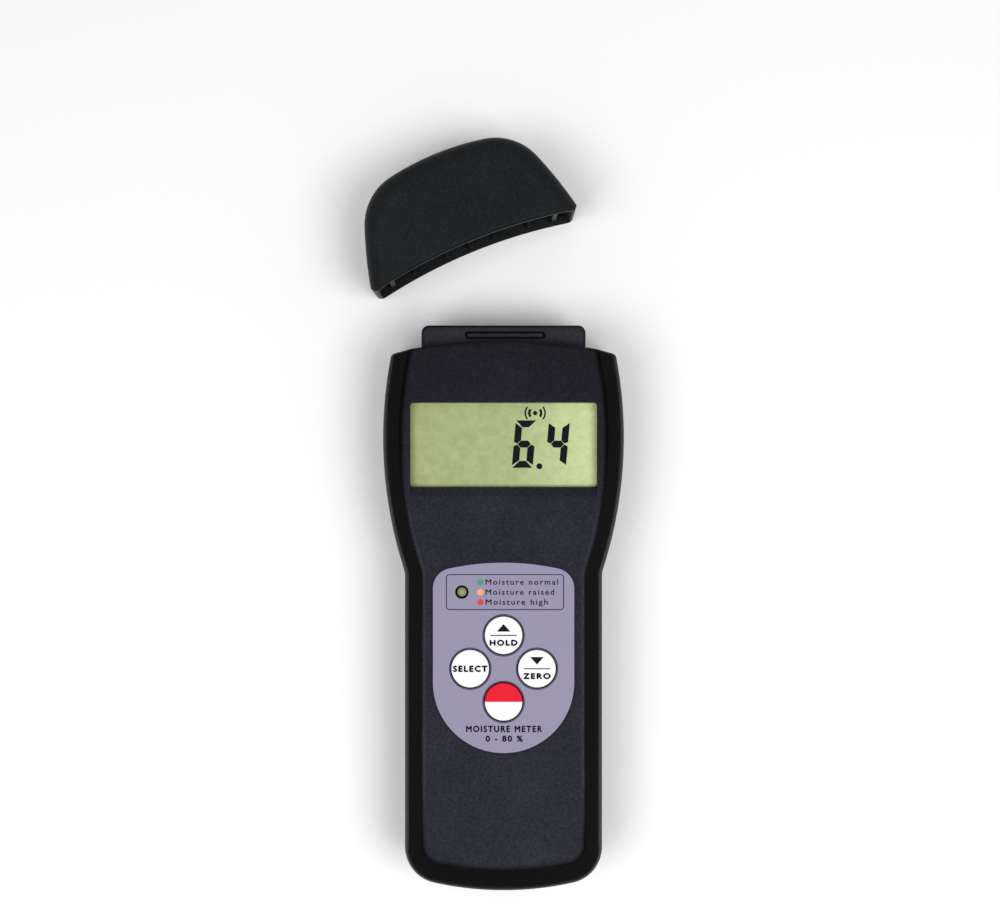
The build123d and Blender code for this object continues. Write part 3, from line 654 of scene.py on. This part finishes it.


def outer_loop(node):
    """The corners round the outside of a CAD node's flat top, in order, in millimetres."""
    top = top_of(node)
    shape = bmesh.new()
    shape.from_mesh(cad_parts[node].data)
    bmesh.ops.remove_doubles(shape, verts=shape.verts, dist=0.001 * MM)
    below = [face for face in shape.faces if any(vert.co.z <= top - 0.001 * MM for vert in face.verts)]
    bmesh.ops.delete(shape, geom=below, context="FACES")
    boundary = [edge for edge in shape.edges if edge.is_boundary]
    left_over = set(boundary)
    vert = min((vert for edge in boundary for vert in edge.verts), key=lambda vert: vert.co.y)
    loop = []
    while True:
        loop.append((vert.co.x / MM, vert.co.y / MM))
        onward = [edge for edge in vert.link_edges if edge in left_over]
        if not onward:
            break
        left_over.discard(onward[0])
        vert = onward[0].other_vert(vert)
    shape.free()
    return loop[:-1]


def line_inside(loop, width):
    """A line of this width just inside a closed outline, as one four-cornered shape for each of its runs."""
    count = len(loop)
    turn = sum(loop[i - 1][0] * loop[i][1] - loop[i][0] * loop[i - 1][1] for i in range(count))
    side = 1 if turn > 0 else -1
    inner = []
    for i in range(count):
        ahead = Vector(loop[(i + 1) % count]) - Vector(loop[i - 1])
        inwards = Vector((-ahead.y, ahead.x)).normalized() * side * width
        inner.append((loop[i][0] + inwards.x, loop[i][1] + inwards.y))
    return [[loop[i - 1], loop[i], inner[i], inner[i - 1]] for i in range(count)]


def outline_frame(left, right, bottom, top, corner, line):
    """A rounded rectangular line as four straight bars and four bent ones."""
    bars = [
        rectangle(left + corner, right - corner, bottom, bottom + line),
        rectangle(left + corner, right - corner, top - line, top),
        rectangle(left, left + line, bottom + corner, top - corner),
        rectangle(right - line, right, bottom + corner, top - corner),
    ]
    centres = (
        ((right - corner, top - corner), 0),
        ((left + corner, top - corner), 90),
        ((left + corner, bottom + corner), 180),
        ((right - corner, bottom + corner), 270),
    )
    for centre, start in centres:
        outside = arc(centre, corner, start, start + 90, 8)
        inside = arc(centre, corner - line, start + 90, start, 8)
        bars.append(outside + inside)
    return bars


# painted shade: a dark line just inside the foil's edge for the shadow in its gap
gap_shade_line = line_inside(outer_loop("keypad_overlay"), GAP_SHADE_WIDTH)
prism("foil_painted_gap_shade", gap_shade_line, foil_top, INK, painted_gap_shade, "meter")

KEY_RING = (5.34, 0.2)  # outer radius and width of the dark line round each key
rings = []
for key_name in KEYS:
    rings += line_inside(disc(centre_of(f"key_{key_name}"), KEY_RING[0]), KEY_RING[1])
prism("foil_key_rings", rings, foil_top, INK, ink_violet, "meter")

LEGEND_FRAME = {"left": -14.5, "right": 15.2, "corner": 0.9, "line": 0.24}
LEGEND_DOT = (-5.85, 0.8)  # the dots' place across the foil, and their radius
LEGEND_LEFT = -4.5  # where the legend's words begin
LEGEND_LIFT = 0.05  # how far they stand above their dots' centres
LEGEND_CAPITALS = 1.35  # height of their capitals
LEGEND_WEIGHT = 0.03
LEGEND = (  # each row's height above the LED's centre, its dot's ink, and its words with their width
    (2.49, ink_green, "Moisture normal", 18.2),
    (-0.05, ink_orange, "Moisture raised", 17.2),
    (-2.55, ink_crimson, "Moisture high", 15.6),
)
led_y = centre_of("status_led")[1]
legend = outline_frame(bottom=led_y - 4.55, top=led_y + 4.5, **LEGEND_FRAME)
prism("foil_legend_frame", legend, foil_top, INK, ink_violet, "meter")
for number, (rise, ink, words, width) in enumerate(LEGEND, 1):
    dot = disc((LEGEND_DOT[0], led_y + rise), LEGEND_DOT[1])
    prism(f"foil_dot_{number}", [dot], foil_top, INK, ink, "meter")
    lettering(
        f"foil_legend_{number}",
        words,
        (LEGEND_LEFT, led_y + rise + LEGEND_LIFT),
        LEGEND_CAPITALS,
        width,
        foil_top,
        ink_violet,
        "meter",
        LEGEND_WEIGHT,
        left=True,
    )


NAME_WEIGHT = 0.09
NAME_X = 0.15  # the name and the range line are this far right of the meter's middle


def foil_line(name, words, drop, cap_height, width):
    """A line of the foil's lettering, this far below the power key's centre."""
    place = (NAME_X, centre_of("key_power")[1] - drop)
    lettering(name, words, place, cap_height, width, foil_top, ink_violet, "meter", NAME_WEIGHT)


foil_line("foil_name", "MOISTURE METER", 6.8, 1.48, 19.0)
foil_line("foil_range", "0 - 80 %", 9.25, 1.4, 9.2)


# ---------------------------------------------------------------- LCD marks

lcd_top = top_of("lcd_panel")
DIGIT = (5.3, 12.0)  # a digit's width and height
DIGIT_LEAN = math.tan(math.radians(5.0))
SEGMENT = 1.75  # width of a digit's bars
SEGMENT_GAP = 0.12
READING = ((2.05, "acdefg"), (10.45, "bcfg"))  # each digit's left edge and lit segments


def digit(left, foot_y, width, height, lit):
    """Seven-segment digit with mitred bars, leaned to the right. lit names its segments a to g."""
    half_width, half_height, half_bar = width / 2, height / 2, SEGMENT / 2

    def end_bar(up):
        outer, inner = half_width - SEGMENT_GAP, half_width - SEGMENT - SEGMENT_GAP
        inner_y = up * (half_height - SEGMENT)
        return [(-outer, up * half_height), (outer, up * half_height), (inner, inner_y), (-inner, inner_y)]

    def side_bar(side, up):
        return [
            (side * half_width, up * (half_height - SEGMENT_GAP - SEGMENT / 3)),
            (side * (half_width - SEGMENT), up * (half_height - SEGMENT - SEGMENT_GAP)),
            (side * (half_width - SEGMENT), up * (half_bar + SEGMENT_GAP)),
            (side * (half_width - half_bar), up * SEGMENT_GAP),
            (side * half_width, up * (half_bar / 2 + SEGMENT_GAP)),
        ]

    tip = half_width - half_bar - SEGMENT_GAP
    shoulder = half_width - SEGMENT
    bars = {
        "a": end_bar(1),
        "b": side_bar(1, 1),
        "c": side_bar(1, -1),
        "d": end_bar(-1),
        "e": side_bar(-1, -1),
        "f": side_bar(-1, 1),
        "g": [
            (-tip, 0),
            (-shoulder, half_bar),
            (shoulder, half_bar),
            (tip, 0),
            (shoulder, -half_bar),
            (-shoulder, -half_bar),
        ],
    }

    def leaned(x, y):
        rise = y + half_height
        return left + half_width + x + rise * DIGIT_LEAN, foot_y + rise

    return [[leaned(x, y) for x, y in bars[letter]] for letter in lit]


window_y = centre_of("display_window")[1]
foot = window_y - 5.85
reading = [bar for left, lit in READING for bar in digit(left, foot, *DIGIT, lit)]
decimal_point = disc((9.05, foot + 0.4), 0.75)
prism("lcd_reading", [*reading, decimal_point], lcd_top, LCD_INK, lcd_ink, "meter")

SIGNAL_WAVES = ((1.5, 0.62), (2.5, 0.4))  # the signal mark's waves: radius and line width
SIGNAL_SIDES = ((-38, 38), (142, 218))  # degrees that each wave covers, right and left
signal_centre = (8.0, window_y + 8.0)
signal = [disc(signal_centre, 0.55)]
for radius, line in SIGNAL_WAVES:
    for start, end in SIGNAL_SIDES:
        outside = arc(signal_centre, radius + line / 2, start, end, 12)
        inside = arc(signal_centre, radius - line / 2, end, start, 12)
        signal.append(outside + inside)
prism("lcd_signal_mark", signal, lcd_top, LCD_INK, lcd_ink, "meter")


# ---------------------------------------------------------------- floor, light and camera, in metres


def floor_material():
    """Plain white with a very faint unevenness."""
    made = Material("floor_white", linear(246, 246, 246), 0.6)
    made.bump(made.noise(3.0), 0.01)
    return made.material


FLOOR_SIZE = 3.0
FLOOR_GAP = 0.0001  # keeps the floor clear of the casing's flat back
floor_mesh = bpy.data.meshes.new("floor")
half_floor = FLOOR_SIZE / 2
floor_z = cad_low.z - FLOOR_GAP
floor_outline = rectangle(-half_floor, half_floor, -half_floor, half_floor)
floor_mesh.from_pydata([(x, y, floor_z) for x, y in floor_outline], [], [(0, 1, 2, 3)])
floor_mesh.materials.append(floor_material())
floor = add_object("floor", floor_mesh)

WORLD_STRENGTH = 0.35
world = bpy.data.worlds.new("studio")
bpy.context.scene.world = world
world.use_nodes = True
background = world.node_tree.nodes["Background"]
background.inputs["Color"].default_value = (1.0, 1.0, 1.0, 1)
background.inputs["Strength"].default_value = WORLD_STRENGTH


def soft_light(name, place, target, size, watts):
    """A square soft box aimed at a point."""
    lamp = bpy.data.lights.new(name, "AREA")
    lamp.shape = "SQUARE"
    lamp.size = size
    lamp.energy = watts
    light = add_object(name, lamp)
    light.location = place
    direction = Vector(target) - Vector(place)
    light.rotation_mode = "QUATERNION"
    light.rotation_quaternion = direction.to_track_quat("-Z", "Y")


LIGHT_TARGET = (0.0, 0.03, 0.0)
LIGHT_SIZE = 0.5
soft_light("left_light", (-0.40, -0.15, 0.85), LIGHT_TARGET, LIGHT_SIZE, 3.7)
soft_light("right_light", (0.40, -0.15, 0.85), LIGHT_TARGET, LIGHT_SIZE, 4.8)

CAMERA_HEIGHT = 0.450
FOCUS_HEIGHT = 0.014
VIEW_WIDTH = 0.2587  # how much the camera takes in from side to side at FOCUS_HEIGHT
camera_place = Vector((-0.0009, 0.0400, CAMERA_HEIGHT))
aim = Vector((camera_place.x, camera_place.y, FOCUS_HEIGHT))
lens = bpy.data.cameras.new("camera")
lens.sensor_width = 36.0
lens.lens = lens.sensor_width * (CAMERA_HEIGHT - FOCUS_HEIGHT) / VIEW_WIDTH
camera = add_object("camera", lens)
forward = (aim - camera_place).normalized()
right = forward.cross(Vector((0, 1, 0))).normalized()
upright = right.cross(forward)
turned = Matrix((right, upright, -forward)).transposed().to_4x4()
camera.matrix_world = Matrix.Translation(camera_place) @ turned
bpy.context.scene.camera = camera

bpy.context.scene.view_settings.view_transform = "Standard"
